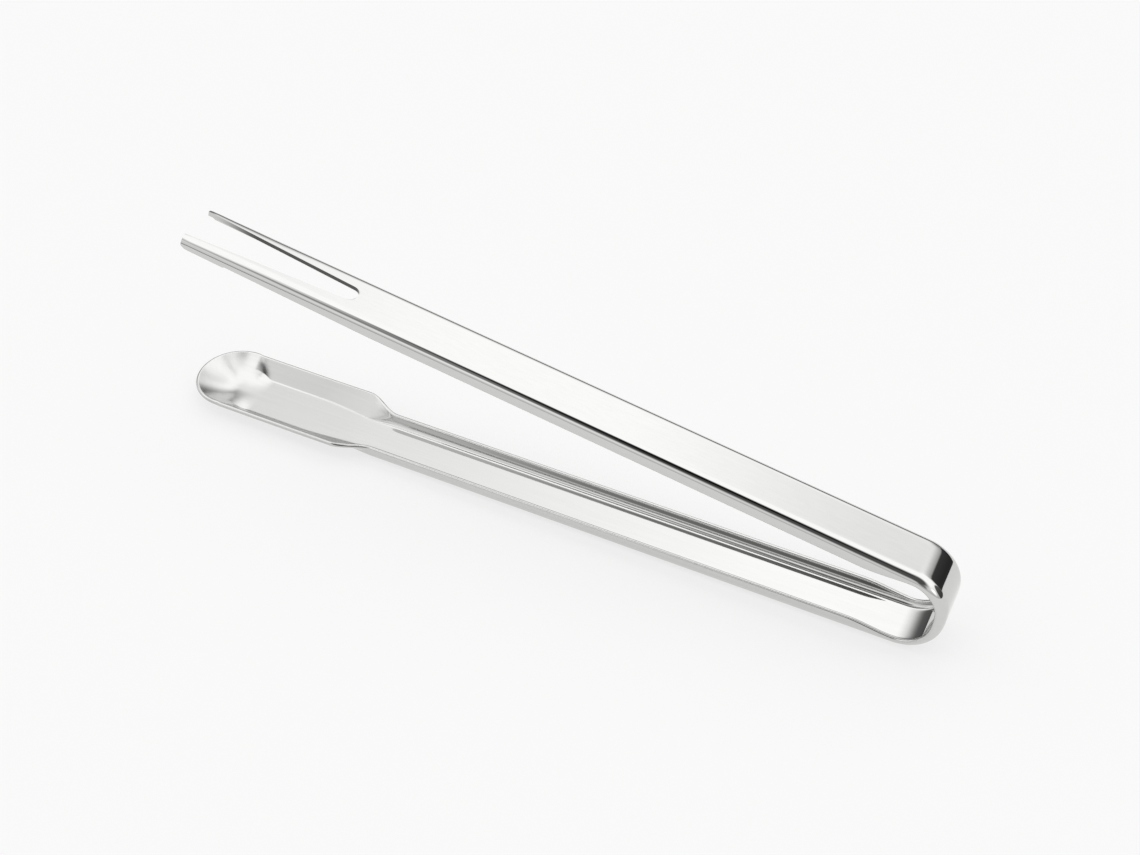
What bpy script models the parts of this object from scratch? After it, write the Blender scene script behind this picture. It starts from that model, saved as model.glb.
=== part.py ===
"""Serving tongs: a fork arm and a spoon arm joined by a springy bow.

The real tongs are one strip of polished stainless steel. Its long edges are folded
inwards as stiffening flanges, its ends are pressed into a two-tined fork and a long
spoon, and its middle is bent into a U, which is the spring. The strip is modelled as
three solids, parted where the bow does its bending: spoon_arm, spring_bow, fork_arm.

Metres, +Z up. The spoon arm lies flat on the ground with its tip at -X, the bow is at
+X, and the strip's width runs along Y. The origin is on the ground, under the middle.
"""
import math

import bmesh
import bpy
from mathutils import Matrix, Vector

# The strip
SHEET = 0.0012
ARM_WIDTH = 0.0150
FLANGE_HEIGHT = 0.0044
FOLD_RADIUS = 0.0028

# The side view: two arms that open from a bow, which is a little flat at its crown. The
# fork's tips stop short of the spoon's, so that they close inside it
OVERALL_LENGTH = 0.2130
FORK_SET_BACK = 0.0027
OPENING = math.radians(9.0)
BOW_SHOULDER_RADIUS = 0.0110
BOW_CROWN_RADIUS = 0.0265
BOW_CROWN_ANGLE = math.radians(6.6)

# The flanges are cut down to a low lip around the bow, so that it can bend
BOW_LIP_HEIGHT = 0.0026
LIP_FADE_ON_ARM = 0.0120
LIP_FADE_ON_BOW = 0.0028

# The spoon
SPOON_WIDTH = 0.0230
SPOON_LENGTH = 0.0478
SPOON_FLOOR_WIDTH = 0.0120
SPOON_FOLD_RADIUS = 0.0022
SPOON_RIM_HEIGHT = 0.0046
SHOULDER_LENGTH = 0.0105
FLOOR_FLARE_START = 0.0060
FLOOR_FLARE_LENGTH = 0.0190

# The spoon's tip turns up into a dish, into which the side walls sink along a crease
DISH_POWER = 1.7
DISH_FADE_LENGTH = 0.0075
DISH_CREASE = 0.0008

# The fork
SLOT_LENGTH = 0.0475
SLOT_ROOT_WIDTH = 0.0051
SLOT_MOUTH_WIDTH = 0.0104
TINE_FLANGE_HEIGHT = 0.0030
TINE_TAPER_LENGTH = 0.0547
TINE_CORNER_RADIUS = 0.0012
CUT_OVERRUN = 0.0010

# The bending places: an axis across the strip, at this depth under its outer face and
# this far round from the bow's crown, and the slit that parts the solids there
FLEX_DEPTH = 0.0010
FLEX_ANGLE = math.radians(50.0)
FLEX_GAP = 0.0004

# Mesh steps
FLOOR_STEPS = 4
FOLD_STEPS = 6
WALL_STEPS = 4
BEND_STEP = math.radians(5.0)
FADE_STEPS = 6
SHOULDER_STEPS = 9
FLARE_STEPS = 4
DISH_STEPS = 8
ROUND_END_STEPS = 14
SLOT_ROOT_STEPS = 16
MERGE_DISTANCE = 0.00001

HALF_TURN = math.pi
QUARTER_TURN = math.pi / 2
CROWN_TO_ARM = QUARTER_TURN - OPENING / 2
CROWN_OFFSET = BOW_CROWN_RADIUS - BOW_SHOULDER_RADIUS
CROWN_CENTRE = Vector((
    OVERALL_LENGTH / 2 - BOW_CROWN_RADIUS,
    0,
    BOW_SHOULDER_RADIUS + CROWN_OFFSET * math.sin(BOW_CROWN_ANGLE + OPENING / 2),
))
BOW_DEPTH = BOW_CROWN_RADIUS - CROWN_OFFSET * math.cos(BOW_CROWN_ANGLE + OPENING / 2)
SPOON_ARM_LENGTH = OVERALL_LENGTH - BOW_DEPTH
FORK_ARM_LENGTH = SPOON_ARM_LENGTH - FORK_SET_BACK
SHOULDER_RUN = SPOON_ARM_LENGTH - SPOON_LENGTH
ROUND_END_RUN = SPOON_ARM_LENGTH - SPOON_WIDTH / 2
DISH_RUN = ROUND_END_RUN - DISH_FADE_LENGTH
SLOT_ROOT_RUN = FORK_ARM_LENGTH - SLOT_LENGTH
TINE_TAPER_RUN = FORK_ARM_LENGTH - TINE_TAPER_LENGTH
SLIT_HALF_ANGLE = FLEX_GAP / 2 / (BOW_SHOULDER_RADIUS - FLEX_DEPTH)


def smooth_step(share):
    """An S-curve from 0 to 1, flat at both ends."""
    share = min(max(share, 0), 1)
    return share * share * (3 - 2 * share)


def mix(low, high, share):
    return low + (high - low) * share


def steps_between(low, high, count):
    """The ends of count equal steps from low to high, without low itself."""
    return [mix(low, high, (index + 1) / count) for index in range(count)]


def clear_scene():
    for thing in list(bpy.data.objects):
        bpy.data.objects.remove(thing, do_unlink=True)


def new_collection(name):
    collection = bpy.data.collections.new(name)
    bpy.context.scene.collection.children.link(collection)
    return collection


def polished_steel(name, roughness):
    material = bpy.data.materials.new(name)
    material.use_nodes = True
    shader = material.node_tree.nodes["Principled BSDF"]
    shader.inputs["Base Color"].default_value = (0.78, 0.78, 0.76, 1)
    shader.inputs["Metallic"].default_value = 1
    shader.inputs["Roughness"].default_value = roughness
    return material


# Where the strip runs: each place is a point on the middle of its outer face, and the
# direction in which its flanges stand.

def bow_outward(angle):
    """The way out of the bow, angle round from its crown, positive towards the fork arm."""
    return Vector((math.cos(angle - OPENING / 2), 0, math.sin(angle - OPENING / 2)))


def bow_place(angle):
    """A place on the bow: on its crown's arc, or on one of its shoulders' tighter arcs."""
    outward = bow_outward(angle)
    if abs(angle) <= BOW_CROWN_ANGLE:
        return CROWN_CENTRE + outward * BOW_CROWN_RADIUS, -outward
    crown_end = bow_outward(math.copysign(BOW_CROWN_ANGLE, angle))
    return CROWN_CENTRE + crown_end * CROWN_OFFSET + outward * BOW_SHOULDER_RADIUS, -outward


def spoon_arm_place(run):
    """A place on the lower arm, run metres from the end of the bow."""
    start, inward = bow_place(-CROWN_TO_ARM)
    return start + Vector((-run, 0, 0)), inward


def fork_arm_place(run):
    """A place on the upper arm, run metres from the end of the bow."""
    start, inward = bow_place(CROWN_TO_ARM)
    along = Vector((-math.cos(OPENING), 0, math.sin(OPENING)))
    return start + along * run, inward


# What the strip's cross-section is: half of it, from the middle of the floor to the
# flange's edge, as (sideways, height) on the outer face.

def flanged_section(floor_half, fold, rim_half, rim_height):
    """A flat floor, a fold, and a straight wall up to the rim."""
    to_rim = Vector((rim_half - floor_half, rim_height - fold))
    lean = math.atan2(to_rim.y, to_rim.x) + math.asin(min(fold / to_rim.length, 1))
    points = [(0, 0)]
    points += [(y, 0) for y in steps_between(0, floor_half, FLOOR_STEPS)]
    for angle in steps_between(0, lean, FOLD_STEPS):
        points.append((floor_half + fold * math.sin(angle), fold - fold * math.cos(angle)))
    fold_end = points[-1]
    for share in steps_between(0, 1, WALL_STEPS):
        points.append((mix(fold_end[0], rim_half, share), mix(fold_end[1], rim_height, share)))
    return points


def arm_section(flange_height):
    return flanged_section(ARM_WIDTH / 2 - FOLD_RADIUS, FOLD_RADIUS, ARM_WIDTH / 2, flange_height)


def lip_section(distance):
    """The arm's section near the bow; distance is negative on the bow itself."""
    fade = smooth_step((distance + LIP_FADE_ON_BOW) / (LIP_FADE_ON_ARM + LIP_FADE_ON_BOW))
    return arm_section(mix(BOW_LIP_HEIGHT, FLANGE_HEIGHT, fade))


def bow_section(angle):
    return lip_section(-(CROWN_TO_ARM - abs(angle)) * BOW_SHOULDER_RADIUS)


def spoon_section(run):
    """The arm's section as it widens through the shoulder into the spoon's."""
    shoulder = smooth_step((run - SHOULDER_RUN + SHOULDER_LENGTH) / SHOULDER_LENGTH)
    flare = smooth_step((run - SHOULDER_RUN + FLOOR_FLARE_START) / FLOOR_FLARE_LENGTH)
    return flanged_section(
        floor_half=mix(ARM_WIDTH / 2 - FOLD_RADIUS, SPOON_FLOOR_WIDTH / 2, flare),
        fold=mix(FOLD_RADIUS, SPOON_FOLD_RADIUS, shoulder),
        rim_half=mix(ARM_WIDTH, SPOON_WIDTH, shoulder) / 2,
        rim_height=mix(FLANGE_HEIGHT, SPOON_RIM_HEIGHT, shoulder),
    )


def dished_section(share):
    """The spoon's section, with this share of the dish's rise pressed into it."""
    section = []
    for y, wall in spoon_section(ROUND_END_RUN):
        dish = SPOON_RIM_HEIGHT * (y / (SPOON_WIDTH / 2)) ** DISH_POWER * share
        reach = min(DISH_CREASE, wall, SPOON_RIM_HEIGHT - wall)
        overlap = max(reach - abs(wall - dish), 0)
        softening = overlap**2 / (4 * reach) if reach > 0 else 0
        section.append((y, max(wall, dish) + softening))
    return section


def tine_section(run):
    """The arm's section along the tines, whose flanges get lower towards the tips."""
    taper = max((run - TINE_TAPER_RUN) / TINE_TAPER_LENGTH, 0)
    return arm_section(mix(FLANGE_HEIGHT, TINE_FLANGE_HEIGHT, taper))


def row_at(place, section):
    """A row of points across half of the strip."""
    point, inward = place
    return [point + Vector((0, y, 0)) + inward * height for y, height in section]


def tine_tip_row():
    """The row at the tine's tip, which draws back around the flange's free corner."""
    section = tine_section(FORK_ARM_LENGTH)
    row = []
    for y, height in section:
        from_edge = math.dist((y, height), section[-1])
        into_corner = max(TINE_CORNER_RADIUS - from_edge, 0)
        corner_rise = math.sqrt(TINE_CORNER_RADIUS**2 - into_corner**2)
        point, inward = fork_arm_place(FORK_ARM_LENGTH - TINE_CORNER_RADIUS + corner_rise)
        row.append(point + Vector((0, y, 0)) + inward * height)
    return row


def round_end_row(angle):
    """A row of the spoon's round end, from its centre to the rim, angle round from +Y."""
    centre, up = spoon_arm_place(ROUND_END_RUN)
    outward = Vector((-math.sin(angle), math.cos(angle), 0))
    return [centre + outward * radius + up * height for radius, height in dished_section(1)]


def bow_rows(start, end):
    """Rows round the bow in even steps, with one at its far end and at each new radius."""
    stops = [start]
    for angle in (BOW_CROWN_ANGLE, OPENING / 2, -BOW_CROWN_ANGLE):
        if end < angle < start:
            stops.append(angle)
    stops.append(end)
    angles = [start]
    for here, there in zip(stops, stops[1:]):
        angles += steps_between(here, there, math.ceil((here - there) / BEND_STEP))
    return [row_at(bow_place(angle), bow_section(angle)) for angle in angles]


def spoon_arm_rows():
    rows = bow_rows(-FLEX_ANGLE - SLIT_HALF_ANGLE, -CROWN_TO_ARM)
    for run in steps_between(0, LIP_FADE_ON_ARM, FADE_STEPS):
        rows.append(row_at(spoon_arm_place(run), lip_section(run)))
    shoulder_start = SHOULDER_RUN - SHOULDER_LENGTH
    flare_end = SHOULDER_RUN - FLOOR_FLARE_START + FLOOR_FLARE_LENGTH
    runs = [shoulder_start]
    runs += steps_between(shoulder_start, SHOULDER_RUN, SHOULDER_STEPS)
    runs += steps_between(SHOULDER_RUN, flare_end, FLARE_STEPS)
    for run in runs:
        rows.append(row_at(spoon_arm_place(run), spoon_section(run)))
    for run in [DISH_RUN] + steps_between(DISH_RUN, ROUND_END_RUN, DISH_STEPS):
        share = smooth_step((run - DISH_RUN) / DISH_FADE_LENGTH)
        rows.append(row_at(spoon_arm_place(run), dished_section(share)))
    for angle in steps_between(0, QUARTER_TURN, ROUND_END_STEPS):
        rows.append(round_end_row(angle))
    return rows


def spring_bow_rows():
    return bow_rows(FLEX_ANGLE - SLIT_HALF_ANGLE, -FLEX_ANGLE + SLIT_HALF_ANGLE)


def fork_arm_rows():
    rows = [tine_tip_row()]
    tine_runs = [FORK_ARM_LENGTH - TINE_CORNER_RADIUS * 2, SLOT_ROOT_RUN, TINE_TAPER_RUN]
    for run in sorted(tine_runs, reverse=True):
        rows.append(row_at(fork_arm_place(run), tine_section(run)))
    for run in reversed(steps_between(0, LIP_FADE_ON_ARM, FADE_STEPS)):
        rows.append(row_at(fork_arm_place(run), lip_section(run)))
    return rows + bow_rows(CROWN_TO_ARM, FLEX_ANGLE + SLIT_HALF_ANGLE)


def lofted_sheet(name, rows, origin, material, collection):
    """Half of the outer face through the rows, mirrored, then thickened inwards."""
    mesh = bpy.data.meshes.new(name)
    build = bmesh.new()
    lines = [[build.verts.new(point - origin) for point in row] for row in rows]
    for line, next_line in zip(lines, lines[1:]):
        for index in range(len(line) - 1):
            build.faces.new((line[index], next_line[index], next_line[index + 1], line[index + 1]))
    bmesh.ops.remove_doubles(build, verts=build.verts, dist=MERGE_DISTANCE)
    build.to_mesh(mesh)
    build.free()
    mesh.materials.append(material)
    mesh.shade_smooth()
    mesh.set_sharp_from_angle(angle=QUARTER_TURN / 2)
    part = bpy.data.objects.new(name, mesh)
    part.location = origin
    collection.objects.link(part)

    mirror = part.modifiers.new("Other half", "MIRROR")
    mirror.use_axis = (False, True, False)
    mirror.merge_threshold = MERGE_DISTANCE
    thickness = part.modifiers.new("Sheet", "SOLIDIFY")
    thickness.thickness = SHEET
    thickness.offset = -1
    thickness.use_even_offset = True
    return part


def add_weighted_normals(part):
    """Shade the wide faces flat up to their cut edges."""
    normals = part.modifiers.new("Weighted normals", "WEIGHTED_NORMAL")
    normals.keep_sharp = True


def slot_outline():
    """The slot as (run, sideways): two straight sides that open from a round root."""
    root_half = SLOT_ROOT_WIDTH / 2
    root_centre = SLOT_ROOT_RUN + root_half
    flare = (SLOT_MOUTH_WIDTH / 2 - root_half) / (FORK_ARM_LENGTH - root_centre)
    end_run = FORK_ARM_LENGTH + CUT_OVERRUN
    end_half = root_half + flare * (end_run - root_centre)
    outline = [(end_run, -end_half), (end_run, end_half)]
    for index in range(SLOT_ROOT_STEPS + 1):
        angle = HALF_TURN * index / SLOT_ROOT_STEPS
        outline.append((root_centre - root_half * math.sin(angle), root_half * math.cos(angle)))
    return outline


def slot_cutter(collection):
    """The slot's outline as a flat curve with thickness, made a closed mesh."""
    curve = bpy.data.curves.new("slot_outline", "CURVE")
    curve.dimensions = "2D"
    curve.fill_mode = "BOTH"
    curve.extrude = SHEET / 2 + CUT_OVERRUN
    outline = slot_outline()
    spline = curve.splines.new("POLY")
    spline.points.add(len(outline) - 1)
    spline.use_cyclic_u = True
    for point, (run, sideways) in zip(spline.points, outline):
        point.co = (run, sideways, 0, 1)
    start, inward = fork_arm_place(0)
    along = (fork_arm_place(FORK_ARM_LENGTH)[0] - start).normalized()
    turn = Matrix((along, inward.cross(along), inward)).transposed().to_4x4()
    flat = bpy.data.objects.new("slot_outline", curve)
    collection.objects.link(flat)
    flat.matrix_world = Matrix.Translation(start + inward * SHEET / 2) @ turn
    bpy.context.view_layer.update()

    graph = bpy.context.evaluated_depsgraph_get()
    mesh = bpy.data.meshes.new_from_object(flat.evaluated_get(graph))
    weld = bmesh.new()
    weld.from_mesh(mesh)
    bmesh.ops.remove_doubles(weld, verts=weld.verts, dist=MERGE_DISTANCE)
    weld.to_mesh(mesh)
    weld.free()
    mesh.shade_flat()
    cutter = bpy.data.objects.new("slot_cutter", mesh)
    cutter.matrix_world = flat.matrix_world
    cutter.hide_render = True
    cutter.display_type = "WIRE"
    collection.objects.link(cutter)
    bpy.data.objects.remove(flat, do_unlink=True)
    return cutter


def flex_axis(angle):
    """A point on the axis about which the strip bends, angle round from the crown."""
    point, inward = bow_place(angle)
    return point + inward * FLEX_DEPTH


def join_at_origin(child, parent):
    """Parent the child, which stays in place and turns about its own origin."""
    place = child.location - parent.matrix_world.translation
    child.parent = parent
    child.location = place
    bpy.context.view_layer.update()


def build_tongs():
    clear_scene()
    parts = new_collection("serving_tongs")
    cutters = new_collection("cutters")

    steel = polished_steel("spoon_arm_steel", 0.08)
    spoon_arm = lofted_sheet("spoon_arm", spoon_arm_rows(), Vector((0, 0, 0)), steel, parts)
    steel = polished_steel("spring_bow_steel", 0.07)
    spring_bow = lofted_sheet("spring_bow", spring_bow_rows(), flex_axis(-FLEX_ANGLE), steel, parts)
    steel = polished_steel("fork_arm_steel", 0.08)
    fork_arm = lofted_sheet("fork_arm", fork_arm_rows(), flex_axis(FLEX_ANGLE), steel, parts)

    slot = fork_arm.modifiers.new("Slot", "BOOLEAN")
    slot.object = slot_cutter(cutters)
    slot.operation = "DIFFERENCE"
    slot.solver = "EXACT"
    for part in (spoon_arm, spring_bow, fork_arm):
        add_weighted_normals(part)

    bpy.context.view_layer.update()
    join_at_origin(spring_bow, spoon_arm)
    join_at_origin(fork_arm, spring_bow)


build_tongs()
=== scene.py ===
# %% [markdown]
# # Serving tongs
# These tongs are one strip of polished stainless steel. A press folds its long edges up
# as stiffening flanges, cuts one end into a two-tined fork, stamps the other end into a
# long spoon, and then the strip is bent into a U, whose bow is the spring. This lesson
# makes the strip in the same order: a flat blank, folded, cut, stamped, and bent last.
# The fixed model of the tongs is loaded first, because each measure has to agree with it.

import math

import bmesh
import bpy
from mathutils import Matrix, Vector


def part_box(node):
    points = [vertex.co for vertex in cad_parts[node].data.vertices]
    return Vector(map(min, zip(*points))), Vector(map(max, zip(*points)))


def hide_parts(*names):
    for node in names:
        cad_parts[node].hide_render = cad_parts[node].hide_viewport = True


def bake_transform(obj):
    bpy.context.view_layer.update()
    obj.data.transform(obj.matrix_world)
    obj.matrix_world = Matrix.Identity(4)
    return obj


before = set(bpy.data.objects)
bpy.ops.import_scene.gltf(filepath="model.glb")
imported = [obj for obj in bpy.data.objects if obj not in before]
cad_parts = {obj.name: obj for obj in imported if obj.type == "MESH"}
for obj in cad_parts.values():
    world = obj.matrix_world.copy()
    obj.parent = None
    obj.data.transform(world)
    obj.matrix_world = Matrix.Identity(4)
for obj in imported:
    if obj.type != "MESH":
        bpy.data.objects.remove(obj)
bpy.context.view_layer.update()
for node in sorted(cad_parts):
    low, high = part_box(node)
    print(node, [round(v * 1000, 2) for v in low], [round(v * 1000, 2) for v in high])

# %% [markdown]
# ## The camera
# The camera comes early, so that each step can be looked at from the photograph's own
# angle. Its place and lens were found by fitting the straight folds and the bow of the
# real tongs. The three directions are where its right side, its top and its back point.

# %% The camera
FILM_WIDTH = 36
LENS = 53.19
CAMERA_PLACE = (0.13585, -0.27265, 0.31493)

camera_data = bpy.data.cameras.new("camera")
camera_data.sensor_width = FILM_WIDTH
camera_data.lens = LENS
camera = bpy.data.objects.new("camera", camera_data)
bpy.context.scene.collection.objects.link(camera)
right = Vector((0.90071, 0.43437, 0.00665))
top = Vector((-0.30332, 0.61786, 0.72543))
back = Vector((0.31100, -0.65542, 0.68827))
turn = Matrix((right, top, back)).transposed().to_4x4()
camera.matrix_world = Matrix.Translation(CAMERA_PLACE) @ turn
bpy.context.scene.camera = camera
print("camera at", [round(v, 4) for v in camera.location], "lens", camera_data.lens)

# %% [markdown]
# ## Measures
# The strip is 15 mm wide and 1.2 mm thick. All its measures are of the outer face, the
# one that faces the hand, because that is the face the press forms against. The bow is
# not quite a half circle: its crown is flatter than its two shoulders, and the arms
# leave it 9 degrees apart. The three smallest values are tolerances: for points that
# touch, for moves not worth making, and for rounding errors.

# %% Measures
SHEET = 0.0012
HALF_WIDTH = 0.0075
FOLD_RADIUS = 0.0028
ARM_FLOOR_HALF = HALF_WIDTH - FOLD_RADIUS
FLANGE_HEIGHT = 0.0044
LIP_HEIGHT = 0.0026
EDGE_ROUND = 0.00052
RIM_BAND = 0.00060
RIM_REACH = 0.00080
TOUCHING = 1e-6
NO_MOVE = 1e-7
ROUNDING = 1e-9

OPENING = math.radians(9.0)
SHOULDER_RADIUS = 0.0110
CROWN_RADIUS = 0.0265
CROWN_ANGLE = math.radians(6.6)
SHOULDER_ANGLE = math.pi / 2 - OPENING / 2 - CROWN_ANGLE
SHOULDER_ARC = SHOULDER_RADIUS * SHOULDER_ANGLE
HALF_BOW_ARC = SHOULDER_ARC + CROWN_RADIUS * CROWN_ANGLE

SPOON_TIP = -0.1065
SPOON_HALF_WIDTH = 0.0115
SPOON_CENTRE = SPOON_TIP + SPOON_HALF_WIDTH
LOWER_BEND = 0.0952116
CROWN = LOWER_BEND + HALF_BOW_ARC
UPPER_BEND = CROWN + HALF_BOW_ARC
FORK_LENGTH = 0.1990116
FORK_TIP = UPPER_BEND + FORK_LENGTH
print("the flat strip is", round((FORK_TIP - SPOON_TIP) * 1000, 1), "mm long")


def smooth_step(share):
    """An S-curve from 0 to 1, flat at both ends."""
    share = min(max(share, 0), 1)
    return share * share * (3 - 2 * share)


def mix(low, high, share):
    return low + (high - low) * share


def steps_between(low, high, count):
    return [mix(low, high, (index + 1) / count) for index in range(count)]


# %% [markdown]
# ## The blank
# A real pair starts as a flat strip. Here it is a grid primitive, one half of the strip
# wide, because the other half is its mirror image. Its rows lie across the strip. They
# are close together where the strip will bend or change its shape, and far apart where
# it stays straight, since a flat stretch of mirror steel needs no points between.

# %% Rows across the blank
SPOON_SHOULDER_START = LOWER_BEND - 0.1434076
SPOON_SHOULDER_END = LOWER_BEND - 0.1539076
SPOON_FLARE_START = LOWER_BEND - 0.1479076
SPOON_FLARE_END = LOWER_BEND - 0.1669076
DISH_LENGTH = 0.0075
DISH_START = SPOON_CENTRE + DISH_LENGTH
GUARD = 0.0008
LIP_FADE_ON_ARM = 0.0120
LIP_FADE_ON_BOW = 0.0028
TAPER_START = UPPER_BEND + 0.1443116
SLOT_ROOT = UPPER_BEND + 0.1515116
SLOT_ROOT_HALF = 0.00255
SLOT_MOUTH_HALF = 0.0052
SLOT_CENTRE = SLOT_ROOT + SLOT_ROOT_HALF
TIP_CORNER = 0.0012
CROWN_GAP = 0.0006

stations = [SPOON_CENTRE]
stations += steps_between(SPOON_CENTRE, DISH_START, 14)
stations += steps_between(DISH_START, SPOON_FLARE_END, 3)
stations += steps_between(SPOON_FLARE_END, SPOON_SHOULDER_END, 12)
stations += steps_between(SPOON_SHOULDER_END, SPOON_SHOULDER_START, 24)
stations += [SPOON_SHOULDER_START + GUARD]
stations += [LOWER_BEND - LIP_FADE_ON_ARM - GUARD]
lower_fade = [LOWER_BEND - LIP_FADE_ON_ARM]
lower_fade += steps_between(lower_fade[0], LOWER_BEND, 12)
lower_fade += steps_between(LOWER_BEND, LOWER_BEND + LIP_FADE_ON_BOW, 4)
half_bow = steps_between(lower_fade[-1], LOWER_BEND + SHOULDER_ARC, 24)
half_bow += steps_between(half_bow[-1], CROWN - CROWN_GAP, 4)
stations += lower_fade + half_bow + [CROWN]
stations += [2 * CROWN - x for x in reversed(lower_fade + half_bow)]
stations += [UPPER_BEND + LIP_FADE_ON_ARM + GUARD, TAPER_START - GUARD, TAPER_START]
slot_root_angles = [math.radians(90 - 10 * index) for index in range(10)]
slot_rows = [SLOT_CENTRE - SLOT_ROOT_HALF * math.sin(angle) for angle in slot_root_angles]
stations += slot_rows
stations += steps_between(SLOT_CENTRE, FORK_TIP - 2 * TIP_CORNER, 4)
stations += [FORK_TIP]
FIRST_SLOT_ROW = stations.index(SLOT_ROOT)
print(len(stations), "rows, from", round(stations[0], 4), "to", round(stations[-1], 4))

# %% Laying the blank
FLOOR_LINES = 6
FOLD_LINES = 10
WALL_LINES = 5
LINES = 1 + FLOOR_LINES + FOLD_LINES + WALL_LINES


def pick(rows, lines=range(LINES)):
    """Select only these rows' points on these lengthwise lines."""
    build = bmesh.from_edit_mesh(bpy.context.object.data)
    row_of = build.verts.layers.int["row"]
    line_of = build.verts.layers.int["line"]
    for vert in build.verts:
        vert.select = vert[row_of] in rows and vert[line_of] in lines
    build.select_flush_mode()


def slide(offset):
    bpy.ops.transform.translate(value=offset)


bpy.ops.object.select_all(action="DESELECT")
bpy.ops.mesh.primitive_grid_add(
    x_subdivisions=len(stations) - 1, y_subdivisions=LINES - 1, size=1, enter_editmode=True)
strip = bpy.context.object
strip.name = "strip"
build = bmesh.from_edit_mesh(strip.data)
row_of = build.verts.layers.int.new("row")
line_of = build.verts.layers.int.new("line")
for vert in build.verts:
    vert[row_of] = round((vert.co.x + 0.5) * (len(stations) - 1))
    vert[line_of] = round((vert.co.y + 0.5) * (LINES - 1))
for row, station in enumerate(stations):
    pick([row])
    slide((station - (row / (len(stations) - 1) - 0.5), 0, 0))
for line in range(LINES):
    pick(range(len(stations)), [line])
    slide((0, -(line / (LINES - 1) - 0.5), 0))
print("the blank has", len(build.verts), "points")

# %% [markdown]
# ## Folding the flanges
# The press folds each long edge up by a right angle over a 2.8 mm radius. One function
# gives the section: the flat floor, the fold, and the straight wall above it. Each
# lengthwise line of the blank is then moved to its place in the section, all of it at
# once, as the folding tool does.

# %% The flanged section
def with_wall(points, rim):
    """The section's points, then its wall, whose last band is kept for the round edge."""
    foot = points[-1]
    band = 1 - RIM_BAND / math.dist(foot, rim)
    wall_shares = steps_between(0, band, WALL_LINES - 1) + [1]
    wall = [
        (mix(foot[0], rim[0], share), mix(foot[1], rim[1], share)) for share in wall_shares]
    return points + wall


def flanged(floor_half, fold, rim_half, rim_height):
    """Half of a section on its outer face, from the middle to the rim, as (y, z)."""
    to_rim = Vector((rim_half - floor_half, rim_height - fold))
    lean = math.atan2(to_rim.y, to_rim.x) + math.asin(min(fold / to_rim.length, 1))
    lean = min(lean, math.acos(max(1 - (rim_height - RIM_REACH) / fold, -1)))
    points = [(0, 0)]
    points += [(y, 0) for y in steps_between(0, floor_half, FLOOR_LINES)]
    for angle in steps_between(0, lean, FOLD_LINES):
        points.append((floor_half + fold * math.sin(angle), fold - fold * math.cos(angle)))
    return with_wall(points, (rim_half, rim_height))


def arm_section(rim_height):
    return flanged(ARM_FLOOR_HALF, FOLD_RADIUS, HALF_WIDTH, rim_height)


def press(rows, old, new):
    """Move the rows' points from their places in one section to those in another."""
    for line, (before, after) in enumerate(zip(old, new)):
        offset = (0, after[0] - before[0], after[1] - before[1])
        if max(abs(part) for part in offset) > NO_MOVE:
            pick(rows, [line])
            slide(offset)


FLAT = [(0, 0)] * LINES
ARM = arm_section(FLANGE_HEIGHT)
press(range(len(stations)), FLAT, ARM)
folded_half = round(strip.dimensions.y * 1000, 2)
print("the folded strip is", folded_half, "mm from its middle to its edge")

# %% [markdown]
# ## The low lip round the bow
# Full flanges would make the bow too stiff to bend, so they are cut down to a low lip
# there, and rise again to their full height along the first 12 mm of each arm.

# %% The lip
for row, station in enumerate(stations):
    onto_arm = max(LOWER_BEND - station, station - UPPER_BEND)
    if onto_arm < LIP_FADE_ON_ARM:
        fade = smooth_step((onto_arm + LIP_FADE_ON_BOW) / (LIP_FADE_ON_ARM + LIP_FADE_ON_BOW))
        press([row], ARM, arm_section(mix(LIP_HEIGHT, FLANGE_HEIGHT, fade)))
print("the lip is", LIP_HEIGHT * 1000, "mm high")

# %% [markdown]
# ## The spoon
# The spoon end is stamped wider: 23 mm across, with sloping walls. Two moves make it.
# The first one widens the rim through a short shoulder, the second one widens the flat
# floor more slowly. Proportional editing gives both their S-shaped passage: a whole
# line of the spoon is moved, and the points next to it follow less and less over the
# length of the shoulder. The other lines are hidden meanwhile, so that they stay put.

# %% Stamping the spoon
SPOON_FLOOR_HALF = 0.0060
SPOON_FOLD = 0.0022
SPOON_RIM_HEIGHT = 0.0046
NARROW_SPOON = flanged(ARM_FLOOR_HALF, SPOON_FOLD, SPOON_HALF_WIDTH, SPOON_RIM_HEIGHT)
SPOON = flanged(SPOON_FLOOR_HALF, SPOON_FOLD, SPOON_HALF_WIDTH, SPOON_RIM_HEIGHT)


def stamp(old, new, start, end):
    """Move the lines beyond end, with an S-shaped passage from start to end."""
    beyond = [row for row, station in enumerate(stations) if station < end + TOUCHING]
    for line, (before, after) in enumerate(zip(old, new)):
        pick(range(len(stations)), [line])
        bpy.ops.mesh.hide(unselected=True)
        pick(beyond, [line])
        bpy.ops.transform.translate(
            value=(0, after[0] - before[0], after[1] - before[1]),
            use_proportional_edit=True,
            proportional_edit_falloff="SMOOTH",
            proportional_size=start - end,
        )
        bpy.ops.mesh.reveal(select=False)


stamp(ARM, NARROW_SPOON, SPOON_SHOULDER_START, SPOON_SHOULDER_END)
stamp(NARROW_SPOON, SPOON, SPOON_FLARE_START, SPOON_FLARE_END)
print("the spoon is", SPOON_HALF_WIDTH * 2000, "mm wide")

# %% [markdown]
# ## The spoon's dished tip
# At its tip the spoon turns up into a shallow dish, so that it scoops. The side walls
# sink into the dish on a short slanted crease, which shows in the photograph as a small
# dark curve at the end of the far wall. The last rows before the round end are pressed
# first, from the walled section to the dish's. The crease is softened on the way, and
# that softness fades out where the round end starts, since no wall is left there. The
# round end itself is then a quarter turn of the dish's section about an upright axis,
# made by spinning the last row.

# %% The dish's section
DISH_ROUND = 0.0080
CREASE = 0.0016
CREASE_END = 8


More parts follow.
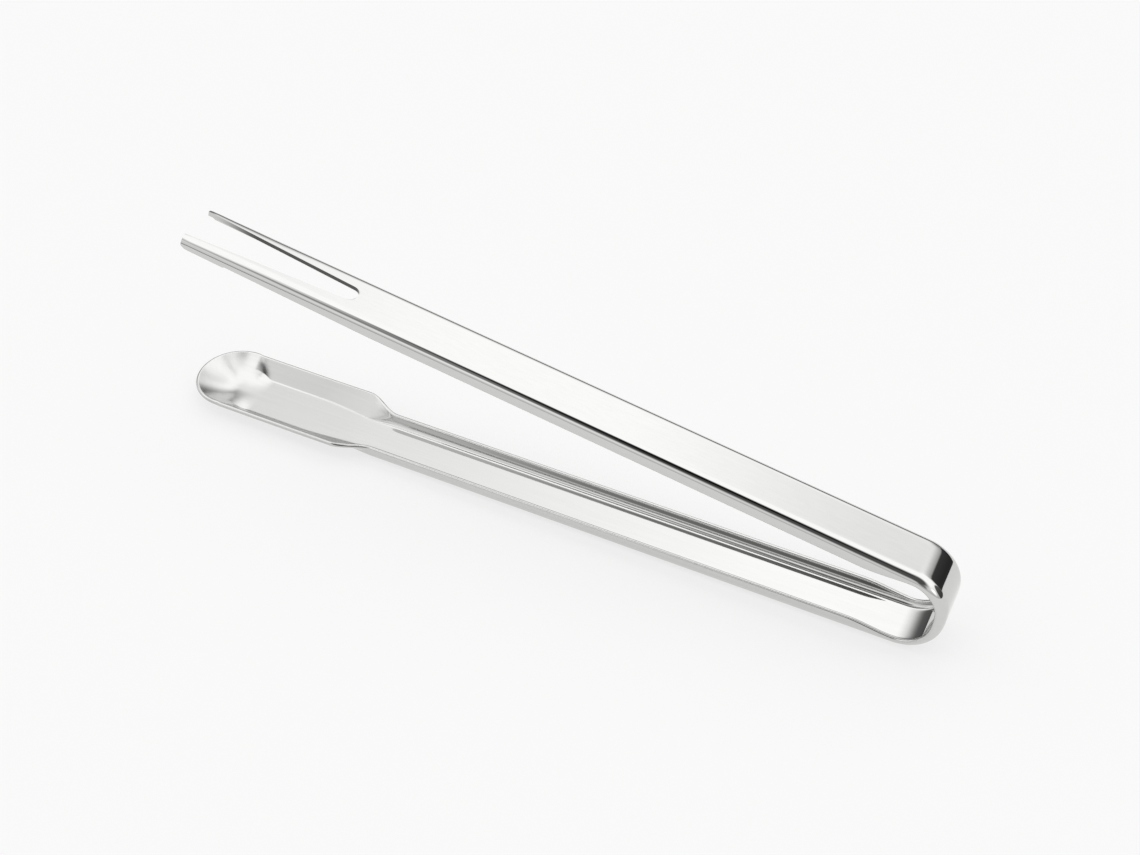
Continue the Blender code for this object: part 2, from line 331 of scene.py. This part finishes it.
def dish_rise(across):
    """A cone whose point is rounded off, so that the dish has no sharp middle."""
    return math.hypot(across, DISH_ROUND) - DISH_ROUND


def dished(share):
    """The spoon's section, with this share of the dish's rise at each point."""
    rim_height = SPOON[-1][1]
    points = []
    for across, wall in SPOON:
        dish = rim_height * dish_rise(across) / dish_rise(SPOON_HALF_WIDTH) * share
        reach = min(CREASE, wall, rim_height - wall)
        overlap = max(reach - abs(wall - dish), 0)
        softened = overlap**2 / (4 * reach) if reach > ROUNDING else 0
        points.append((across, max(wall, dish) + softened * (1 - share**CREASE_END)))
    return points


for row, station in enumerate(stations):
    if station < DISH_START:
        share = 1 - smooth_step((station - SPOON_CENTRE) / (DISH_START - SPOON_CENTRE))
        press([row], SPOON, dished(share))
print("the dish is", round((SPOON_CENTRE - SPOON_TIP + DISH_LENGTH) * 1000, 1), "mm long")

# %% Spinning the round end
END_STEPS = 24
pick([0])
bpy.ops.mesh.spin(
    steps=END_STEPS, angle=-math.pi / 2, center=(SPOON_CENTRE, 0, 0), axis=(0, 0, 1))
build = bmesh.from_edit_mesh(strip.data)
row_of = build.verts.layers.int["row"]
for vert in build.verts:
    if vert.co.x < SPOON_CENTRE - TOUCHING:
        vert[row_of] = -1
reach = min(vert.co.x for vert in build.verts)
print("the spoon's tip is at", round(reach * 1000, 2), "mm")

# %% [markdown]
# ## The tines
# The fork's flanges get lower towards the tips, and their free corners are rounded. The
# slot between the tines opens from a round root. Instead of cutting it with a boolean,
# which leaves ragged faces that show in mirror steel, the second line of the blank is
# led round the slot's edge, and the faces inside it are deleted.

# %% The tines' section
TIP_RIM_HEIGHT = 0.0030
LEAST_FLOOR = 0.0009


def along_section(across):
    """The place in the arm's section at a distance along it from the middle."""
    if across <= ARM_FLOOR_HALF:
        return (across, 0)
    angle = (across - ARM_FLOOR_HALF) / FOLD_RADIUS
    if angle <= math.pi / 2:
        return (
            ARM_FLOOR_HALF + FOLD_RADIUS * math.sin(angle),
            FOLD_RADIUS - FOLD_RADIUS * math.cos(angle),
        )
    return (HALF_WIDTH, FOLD_RADIUS + (angle - math.pi / 2) * FOLD_RADIUS)


def slot_half(station):
    if station < SLOT_CENTRE:
        return math.sqrt(max(SLOT_ROOT_HALF**2 - (SLOT_CENTRE - station) ** 2, 0))
    share = (station - SLOT_CENTRE) / (FORK_TIP - SLOT_CENTRE)
    return mix(SLOT_ROOT_HALF, SLOT_MOUTH_HALF, share)


def tine_section(station):
    """The tine's section, whose first points keep to the slot's edge."""
    taper = (station - TAPER_START) / (FORK_TIP - TAPER_START)
    rim_height = mix(FLANGE_HEIGHT, TIP_RIM_HEIGHT, taper)
    lean = min(math.pi / 2, math.acos(max(1 - (rim_height - RIM_REACH) / FOLD_RADIUS, -1)))
    fold_end = ARM_FLOOR_HALF + FOLD_RADIUS * lean
    edge = slot_half(station)
    floor_end = max(ARM_FLOOR_HALF, edge + LEAST_FLOOR)
    across = [0, edge] + steps_between(edge, floor_end, FLOOR_LINES - 1)
    across += steps_between(floor_end, fold_end, FOLD_LINES)
    points = [along_section(distance) for distance in across]
    return with_wall(points, (HALF_WIDTH, rim_height))


for row in range(FIRST_SLOT_ROW, len(stations)):
    press([row], ARM, tine_section(stations[row]))
tip = tine_section(FORK_TIP)
for line, place in enumerate(tip):
    into_corner = max(TIP_CORNER - math.dist(place, tip[-1]), 0)
    pick([len(stations) - 1], [line])
    slide((math.sqrt(TIP_CORNER**2 - into_corner**2) - TIP_CORNER, 0, 0))
print("the slot is", round((FORK_TIP - SLOT_ROOT) * 1000, 1), "mm long")

# %% Opening the slot
build = bmesh.from_edit_mesh(strip.data)
row_of = build.verts.layers.int["row"]
line_of = build.verts.layers.int["line"]
bpy.ops.mesh.select_mode(type="FACE")
for face in build.faces:
    in_slot = all(vert[row_of] >= FIRST_SLOT_ROW and vert[line_of] <= 1 for vert in face.verts)
    face.select = in_slot
bpy.ops.mesh.delete(type="FACE")
bpy.ops.mesh.select_mode(type="VERT")
build = bmesh.from_edit_mesh(strip.data)
print("the half strip has", len(build.faces), "faces")

# %% [markdown]
# ## Bending the bow
# Bending comes last, as at the works. Each row of the bow is turned by as much as the
# strip has turned up to there, and set down on the arc. The whole fork arm then moves
# as one piece, turned by 171 degrees. With no window, the rotate operator turns the
# other way from the mathematical sense, which is the way wanted here.

# %% Bending the bow
def turned(angle):
    """The outer face's place, where the strip has turned by this angle."""
    if angle <= SHOULDER_ANGLE:
        centre = Vector((LOWER_BEND, 0, SHOULDER_RADIUS))
        return centre + SHOULDER_RADIUS * Vector((math.sin(angle), 0, -math.cos(angle)))
    edge = turned(SHOULDER_ANGLE)
    inward = Vector((-math.sin(SHOULDER_ANGLE), 0, math.cos(SHOULDER_ANGLE)))
    centre = edge + inward * CROWN_RADIUS
    last = SHOULDER_ANGLE + 2 * CROWN_ANGLE
    if angle <= last:
        return centre + CROWN_RADIUS * Vector((math.sin(angle), 0, -math.cos(angle)))
    edge = turned(last)
    inward = Vector((-math.sin(last), 0, math.cos(last)))
    centre = edge + inward * SHOULDER_RADIUS
    return centre + SHOULDER_RADIUS * Vector((math.sin(angle), 0, -math.cos(angle)))


def turn_at(station):
    """How far the strip has turned at a place along it."""
    bent = max(min(station, 2 * CROWN - station) - LOWER_BEND, 0)
    on_shoulder = min(bent, SHOULDER_ARC) / SHOULDER_RADIUS
    on_crown = max(bent - SHOULDER_ARC, 0) / CROWN_RADIUS
    angle = on_shoulder + on_crown
    return angle if station <= CROWN else math.pi - OPENING - angle


def set_down(rows, station):
    """Turn the rows about their place in the flat strip, and move them to the bow."""
    angle = turn_at(station)
    flat_place = Vector((station, 0, 0))
    pick(rows)
    bpy.ops.transform.rotate(value=angle, orient_axis="Y", center_override=flat_place)
    slide(turned(angle) - flat_place)


for row, station in enumerate(stations):
    if LOWER_BEND < station < UPPER_BEND and station != CROWN:
        set_down([row], station)
fork_rows = [row for row, station in enumerate(stations) if station >= UPPER_BEND - ROUNDING]
set_down(fork_rows, UPPER_BEND)
crown_row = stations.index(CROWN)
set_down([crown_row], CROWN)
beside = turned(turn_at(stations[crown_row - 1])) + turned(turn_at(stations[crown_row + 1]))
pick([crown_row])
slide(beside / 2 - turned(turn_at(CROWN)))
bpy.ops.mesh.select_all(action="SELECT")
bpy.ops.mesh.remove_doubles(threshold=TOUCHING)
bpy.ops.object.mode_set(mode="OBJECT")
print("bent:", [round(v * 1000, 2) for v in strip.dimensions])

# %% [markdown]
# ## The whole sheet
# Mirror makes the other half. Solidify gives the sheet its 1.2 mm, all of it on the
# inside, so the outer face stays where it is. The long edges of such tongs are rounded,
# so that they are safe to hold, and here they are made nearly half round. That roundness
# mirrors all that lies between the horizon and the sky, which draws fine dark and light
# lines along the rims, as in the photograph. So the rims are bevelled wide, in edit
# mode. The slot and the tips get a small bevel afterwards, because their points are too
# close together for a wide one.

# %% Mirror and thickness
def finish_with(thing, kind, **settings):
    """Add a modifier, set it, and apply it."""
    modifier = thing.modifiers.new(kind, kind)
    for name, value in settings.items():
        setattr(modifier, name, value)
    bpy.ops.object.modifier_apply(modifier=modifier.name)


finish_with(strip, "MIRROR", use_axis=(False, True, False), merge_threshold=TOUCHING)
steel_place = bpy.data.materials.new("face_of_the_sheet")
edge_place = bpy.data.materials.new("edge_of_the_sheet")
strip.data.materials.append(steel_place)
strip.data.materials.append(edge_place)
finish_with(
    strip, "SOLIDIFY", thickness=SHEET, offset=1, use_even_offset=True,
    material_offset_rim=1)
for name in ("row", "line"):
    strip.data.attributes.remove(strip.data.attributes[name])
print("solid strip:", [round(v * 1000, 2) for v in strip.dimensions])

# %% Round rims
SLOT_REACH = 0.0061
TINE_END = -0.0940
ABOVE_THE_SPOON = 0.012
ROUND_STEPS = 7


def edges_of_the_cut(build):
    """The edges between the sheet's faces and its cut edge, which Solidify marked."""
    return [
        edge for edge in build.edges
        if {face.material_index for face in edge.link_faces} == {0, 1}]


def on_fork_tip_or_slot(place):
    on_fork_arm = place.z > ABOVE_THE_SPOON
    return on_fork_arm and (abs(place.y) < SLOT_REACH or place.x < TINE_END)


bpy.ops.object.mode_set(mode="EDIT")
bpy.ops.mesh.select_mode(type="EDGE")
bpy.ops.mesh.select_all(action="DESELECT")
build = bmesh.from_edit_mesh(strip.data)
for edge in edges_of_the_cut(build):
    edge.select = not any(on_fork_tip_or_slot(vert.co) for vert in edge.verts)
build.select_flush_mode()
print("rim edges:", sum(edge.select for edge in build.edges))
bpy.ops.mesh.bevel(
    offset=EDGE_ROUND, segments=ROUND_STEPS, profile=0.5, material=1, clamp_overlap=False)

# %% The slot's and the tips' edges
STILL_SHARP = math.radians(50)
SMALL_ROUND = 0.00015
SMALL_ROUND_STEPS = 3

bpy.ops.mesh.select_all(action="DESELECT")
build = bmesh.from_edit_mesh(strip.data)
for edge in edges_of_the_cut(build):
    edge.select = edge.calc_face_angle(0) > STILL_SHARP
build.select_flush_mode()
print("short edges:", sum(edge.select for edge in build.edges))
bpy.ops.mesh.bevel(
    offset=SMALL_ROUND, segments=SMALL_ROUND_STEPS, profile=0.5, material=1,
    clamp_overlap=True)
bpy.ops.object.mode_set(mode="OBJECT")
print("with round edges:", len(strip.data.polygons), "faces")

# %% [markdown]
# ## Two skins
# The tongs move where the bow bends. The fixed model has three bodies in a row, and the
# strip is parted at the crown of the bow into two skins: one runs from the spoon arm into
# the bow, the other from the bow into the fork arm.

# %% Parting at the crown
SMOOTH_BELOW = math.radians(40)

crown_point = turned(turn_at(CROWN))
along_crown = Vector((math.sin(OPENING / 2), 0, math.cos(OPENING / 2)))
bpy.ops.object.mode_set(mode="EDIT")
bpy.ops.mesh.select_mode(type="FACE")
build = bmesh.from_edit_mesh(strip.data)
for face in build.faces:
    face.select = (face.calc_center_median() - crown_point).dot(along_crown) > 0
bpy.ops.mesh.separate(type="SELECTED")
bpy.ops.object.mode_set(mode="OBJECT")
upper = [thing for thing in bpy.context.selected_objects if thing != strip][0]
lower = strip
lower.name = "lower_strip"
upper.name = "upper_strip"
for thing in (lower, upper):
    bpy.ops.object.select_all(action="DESELECT")
    thing.select_set(True)
    bpy.context.view_layer.objects.active = thing
    bpy.ops.object.mode_set(mode="EDIT")
    bpy.ops.mesh.select_mode(type="EDGE")
    bpy.ops.mesh.select_all(action="DESELECT")
    bpy.ops.mesh.select_non_manifold()
    bpy.ops.mesh.edge_face_add()
    bpy.ops.object.mode_set(mode="OBJECT")
    bpy.ops.object.shade_smooth_by_angle(angle=SMOOTH_BELOW)
    finish_with(thing, "WEIGHTED_NORMAL", keep_sharp=True)
    size = [round(v * 1000, 2) for v in thing.dimensions]
    print(thing.name, len(thing.data.polygons), "faces", size)

# %% Baking the skins in place and hiding the fixed model
def on_bow(angle_from_crown):
    return turned(turn_at(CROWN) + math.radians(angle_from_crown))


on_bow(-72)
on_bow(-28)
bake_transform(lower)
on_bow(28)
on_bow(72)
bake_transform(upper)
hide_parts("spoon_arm", "spring_bow")
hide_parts("fork_arm")

# %% [markdown]
# ## Polished steel
# Polished stainless steel is a mirror with a very fine, faintly streaky blur, because
# it is buffed along the strip. It is a full metal, so its look comes from what it
# reflects. Three fine patterns keep it from looking like chrome on glass: a cloudy
# change of roughness where the wheel pressed more or less, hairline streaks along the
# strip, and a shallow waviness left by the press. The spoon's reflections are soft in
# the photograph, so the lower strip turns satin beyond the spoon's neck.

# %% Helpers for nodes
def add_node(tree, kind, **values):
    """Add a node. A value names one of its sockets, or else one of its settings."""
    node = tree.nodes.new("ShaderNode" + kind)
    for name, value in values.items():
        socket = node.inputs.get(name.replace("_", " "))
        if socket is None:
            setattr(node, name, value)
        else:
            socket.default_value = value
    return node


def wire(tree, *ends):
    """Join nodes in a row: output socket, input socket, output socket, and so on."""
    for out, into in zip(ends[::2], ends[1::2]):
        tree.links.new(out, into)


# %% Polished steel
CLOUD_SCALE = 70
STREAK_SCALE = (60, 1400, 1400)
WAVE_SCALE = 90
NOISE_LOW = 0.3
NOISE_HIGH = 0.7
STEEL_DARKER = (0.612, 0.612, 0.602, 1)
STEEL_LIGHTER = (0.630, 0.630, 0.622, 1)
MIRROR_LOW = 0.020
MIRROR_HIGH = 0.045
ALL_SATIN = -0.064
ALL_MIRROR = -0.044
HAIRLINE_DEPTH = 0.000001
WAVE_DEPTH = 0.000012
SATIN = 0.22
FORK_ROUGHNESS = 0.04


def polished_steel(name, satin_roughness):
    """Mirror steel, which takes this roughness along the length that the spoon has."""
    material = bpy.data.materials.new(name)
    material.use_nodes = True
    tree = material.node_tree
    shader = tree.nodes["Principled BSDF"]
    shader.inputs["Metallic"].default_value = 1
    place = add_node(tree, "TexCoord")
    cloud = add_node(tree, "TexNoise", Scale=CLOUD_SCALE, Detail=3)
    stretch = add_node(tree, "Mapping", Scale=STREAK_SCALE)
    streaks = add_node(tree, "TexNoise", Scale=1, Detail=2)
    press_wave = add_node(tree, "TexNoise", Scale=WAVE_SCALE, Detail=1)
    wire(tree, place.outputs["Object"], cloud.inputs["Vector"])
    wire(tree, place.outputs["Object"], stretch.inputs["Vector"])
    wire(tree, stretch.outputs[0], streaks.inputs["Vector"])
    wire(tree, place.outputs["Object"], press_wave.inputs["Vector"])

    tone = add_node(tree, "ValToRGB")
    tone.color_ramp.elements[0].position = NOISE_LOW
    tone.color_ramp.elements[0].color = STEEL_DARKER
    tone.color_ramp.elements[1].position = NOISE_HIGH
    tone.color_ramp.elements[1].color = STEEL_LIGHTER
    wire(tree, streaks.outputs["Fac"], tone.inputs["Fac"])
    wire(tree, tone.outputs["Color"], shader.inputs["Base Color"])

    blur = add_node(
        tree, "MapRange", From_Min=NOISE_LOW, From_Max=NOISE_HIGH,
        To_Min=MIRROR_LOW, To_Max=MIRROR_HIGH)
    along = add_node(tree, "SeparateXYZ")
    in_spoon = add_node(
        tree, "MapRange", interpolation_type="SMOOTHSTEP",
        From_Min=ALL_SATIN, From_Max=ALL_MIRROR, To_Min=1, To_Max=0)
    roughness = add_node(tree, "Mix", B=satin_roughness)
    wire(tree, cloud.outputs["Fac"], blur.inputs["Value"])
    wire(
        tree, place.outputs["Object"], along.inputs[0],
        along.outputs["X"], in_spoon.inputs["Value"])
    wire(tree, in_spoon.outputs["Result"], roughness.inputs[0])
    wire(tree, blur.outputs["Result"], roughness.inputs[2])
    wire(tree, roughness.outputs[0], shader.inputs["Roughness"])

    hairlines = add_node(tree, "Bump", Strength=0.10, Distance=HAIRLINE_DEPTH)
    waves = add_node(tree, "Bump", Strength=1.0, Distance=WAVE_DEPTH)
    wire(tree, streaks.outputs["Fac"], hairlines.inputs["Height"])
    wire(tree, press_wave.outputs["Fac"], waves.inputs["Height"])
    wire(tree, waves.outputs["Normal"], hairlines.inputs["Normal"])
    wire(tree, hairlines.outputs["Normal"], shader.inputs["Normal"])
    return material


lower_steel = polished_steel("steel_with_satin_spoon", SATIN)
upper_steel = polished_steel("polished_steel", FORK_ROUGHNESS)
print("two finishes of one steel")

# %% [markdown]
# ## The cut edge
# The sheet's cut edge is made duller than its polished faces. Along the slot it is
# painted nearly black: a painted dark reflection, a thin dark line that stands in for
# what a rounder, polished edge would mirror there. Whether the real edge is dark there,
# or mirrors something dark, can't be told from it. The painted reflection grows light
# again towards the tips of the tines.

# %% The cut edge
CUT_STEEL = (0.600, 0.600, 0.590, 1)
# Nearly black: the painted dark reflection along the slot's edge.
PAINTED_SLOT_REFLECTION = (0.090, 0.090, 0.088, 1)
GRAIN_SCALE = 900
CUT_LOW = 0.12
CUT_HIGH = 0.24
SLOT_DARK_WITHIN = 0.0056
SLOT_LIGHT_BEYOND = 0.0060
TIP_ALL_LIGHT = -0.0990
SLOT_ALL_DARK = -0.0840


def cut_edge(name):
    material = bpy.data.materials.new(name)
    material.use_nodes = True
    tree = material.node_tree
    shader = tree.nodes["Principled BSDF"]
    shader.inputs["Metallic"].default_value = 1
    place = add_node(tree, "TexCoord")
    grain = add_node(tree, "TexNoise", Scale=GRAIN_SCALE, Detail=2)
    across = add_node(tree, "SeparateXYZ")
    distance = add_node(tree, "Math", operation="ABSOLUTE")
    near_middle = add_node(
        tree, "MapRange", From_Min=SLOT_DARK_WITHIN, From_Max=SLOT_LIGHT_BEYOND,
        To_Min=1, To_Max=0)
    short_of_tips = add_node(
        tree, "MapRange", interpolation_type="SMOOTHSTEP",
        From_Min=TIP_ALL_LIGHT, From_Max=SLOT_ALL_DARK)
    in_slot = add_node(tree, "Math", operation="MULTIPLY")
    # The edge's tone mixes the duller cut steel with the painted dark reflection along the
    # slot.
    tone = add_node(tree, "Mix", data_type="RGBA")
    tone.inputs["A"].default_value = CUT_STEEL
    tone.inputs["B"].default_value = PAINTED_SLOT_REFLECTION
    blur = add_node(
        tree, "MapRange", From_Min=NOISE_LOW, From_Max=NOISE_HIGH,
        To_Min=CUT_LOW, To_Max=CUT_HIGH)
    wire(tree, place.outputs["Object"], grain.inputs["Vector"])
    wire(tree, grain.outputs["Fac"], blur.inputs["Value"])
    wire(tree, blur.outputs["Result"], shader.inputs["Roughness"])
    wire(tree, place.outputs["Object"], across.inputs[0])
    wire(tree, across.outputs["Y"], distance.inputs[0])
    wire(tree, distance.outputs[0], near_middle.inputs["Value"])
    wire(tree, near_middle.outputs["Result"], in_slot.inputs[0])
    wire(tree, across.outputs["X"], short_of_tips.inputs["Value"])
    wire(tree, short_of_tips.outputs["Result"], in_slot.inputs[1])
    wire(tree, in_slot.outputs[0], tone.inputs["Factor"])
    wire(tree, tone.outputs["Result"], shader.inputs["Base Color"])
    return material


# The cut edge's material: duller steel, with a painted dark reflection along the slot.
tumbled_edge_and_painted_reflection = cut_edge("tumbled_edge_and_painted_reflection")
for thing, steel in ((lower, lower_steel), (upper, upper_steel)):
    thing.data.materials[0] = steel
    thing.data.materials[1] = tumbled_edge_and_painted_reflection
print("steel on", lower.name, "and", upper.name)

# %% [markdown]
# ## The paper floor
# The tongs lie on white paper. It is plainly white under the tent, so the camera and
# the steel see the same floor: white beside the tongs, and a light grey where the steel,
# which throws back about six tenths of the light, mirrors it. Most of what the camera
# and the mirror see of it is an even white glow, mixed in by the kind of ray, so that
# the shadow on the paper stays faint. Scattered rays see only the plain paper.

# %% The paper floor
FLOOR_RADIUS = 2.5
UNDER_THE_TONGS = -0.0001
PAPER_WHITE = (0.90, 0.90, 0.895, 1)
GLOW_SHARE = 0.72
GLOW = 0.96

bpy.ops.object.select_all(action="DESELECT")
bpy.ops.mesh.primitive_circle_add(
    vertices=96, radius=FLOOR_RADIUS, fill_type="NGON", location=(0, 0, UNDER_THE_TONGS))
floor = bpy.context.object
floor.name = "floor"
paper = bpy.data.materials.new("white_paper")
paper.use_nodes = True
dull = paper.node_tree.nodes["Principled BSDF"]
dull.inputs["Base Color"].default_value = PAPER_WHITE
dull.inputs["Roughness"].default_value = 1
dull.inputs["Specular IOR Level"].default_value = 0
rays = add_node(paper.node_tree, "LightPath")
camera_or_mirror = add_node(paper.node_tree, "Math", operation="MAXIMUM")
seen = add_node(paper.node_tree, "Math", operation="MAXIMUM")
share = add_node(paper.node_tree, "Math", operation="MULTIPLY")
share.inputs[1].default_value = GLOW_SHARE
glow = add_node(paper.node_tree, "Emission", Strength=GLOW)
shown = add_node(paper.node_tree, "MixShader")
wire(
    paper.node_tree,
    rays.outputs["Is Camera Ray"], camera_or_mirror.inputs[0],
    rays.outputs["Is Glossy Ray"], camera_or_mirror.inputs[1],
    camera_or_mirror.outputs[0], seen.inputs[0],
    rays.outputs["Is Transmission Ray"], seen.inputs[1],
    seen.outputs[0], share.inputs[0],
    share.outputs[0], shown.inputs[0],
    dull.outputs[0], shown.inputs[1],
    glow.outputs[0], shown.inputs[2],
    shown.outputs[0], paper.node_tree.nodes["Material Output"].inputs["Surface"])
floor.data.materials.append(paper)
print("the floor is", round(floor.dimensions.x, 1), "m across")

# %% [markdown]
# ## The light tent
# Bright metal is photographed in a white tent, and what makes it look like metal is
# where the tent is not white. The tent here is the world: bright overhead, greyer
# towards the floor, with soft dark patches. The patches were placed from the dark and
# light bands that the steel shows in the photograph. The widest one up high is where
# the camera looks in. Overhead the tent is brighter than plain white, since the steel
# throws back only six tenths of its light and has to come out nearly white on top.
# A patch is given by its compass turn from the front, its height, how much light it
# takes away, and the angles of its core and its soft edge, in degrees. The last one has
# a minus sign: it adds light.

# %% The light tent
LIGHT_AT_HORIZON = 0.64
LIGHT_OVERHEAD = 1.53
OVERHEAD_FROM = 0.68

world = bpy.data.worlds.new("light_tent")
bpy.context.scene.world = world
world.use_nodes = True
tree = world.node_tree
look = add_node(tree, "TexCoord")
direction = add_node(tree, "VectorMath", operation="NORMALIZE")
height = add_node(tree, "SeparateXYZ")
tent = add_node(
    tree, "MapRange", interpolation_type="SMOOTHSTEP",
    From_Max=OVERHEAD_FROM, To_Min=LIGHT_AT_HORIZON, To_Max=LIGHT_OVERHEAD)
wire(tree, look.outputs["Generated"], direction.inputs[0])
wire(tree, direction.outputs["Vector"], height.inputs[0])
wire(tree, height.outputs["Z"], tent.inputs["Value"])


def dim_patch(light, turn, rise, taken, core, edge):
    """Take part of the light away round one direction, and return what is left."""
    turn, rise = math.radians(turn), math.radians(rise)
    middle = (
        math.sin(turn) * math.cos(rise), -math.cos(turn) * math.cos(rise), math.sin(rise))
    beside = add_node(tree, "VectorMath", operation="DOT_PRODUCT")
    beside.inputs[1].default_value = middle
    angle = add_node(tree, "Math", operation="ARCCOSINE")
    left = add_node(
        tree, "MapRange", interpolation_type="SMOOTHSTEP",
        From_Min=math.radians(core), From_Max=math.radians(core + edge),
        To_Min=1 - taken, To_Max=1)
    product = add_node(tree, "Math", operation="MULTIPLY")
    wire(tree, direction.outputs["Vector"], beside.inputs[0])
    wire(tree, beside.outputs["Value"], angle.inputs[0])
    wire(tree, angle.outputs[0], left.inputs["Value"])
    wire(tree, left.outputs["Result"], product.inputs[0], light, product.inputs[1])
    return product.outputs[0]


PATCHES = [
    (-4, 62, 0.97, 6, 10),
    (22, 45, 0.93, 16, 19),
    (-14, 44, 0.60, 6, 8),
    (23, 17, 0.67, 6, 6),
    (140, 12, 0.88, 15, 4),
    (100, 8, 0.90, 20, 5),
    (147, 15, 0.65, 14, 19),
    (167, 43, 0.20, 3, 11),
    (162, 56, 0.14, 3, 11),
    (-39, 36, 0.28, 17, 8),
    (-135, -2, 0.85, 16, 34),
    (180, -8, 0.88, 18, 12),
    (-128, 38, 0.19, 14, 16),
    (-36, -25, 0.75, 28, 5),
    (58, 14, -0.90, 5, 7),
]
light = tent.outputs["Result"]
for patch in PATCHES:
    light = dim_patch(light, *patch)
wire(tree, light, tree.nodes["Background"].inputs["Strength"])
tree.nodes["Background"].inputs["Color"].default_value = (1, 1, 1, 1)
print("the tent has", len(tree.nodes), "nodes")

# %% [markdown]
# ## The view
# The scene's colours are shown with the Standard view transform.

# %% The view transform
bpy.context.scene.view_settings.view_transform = "Standard"
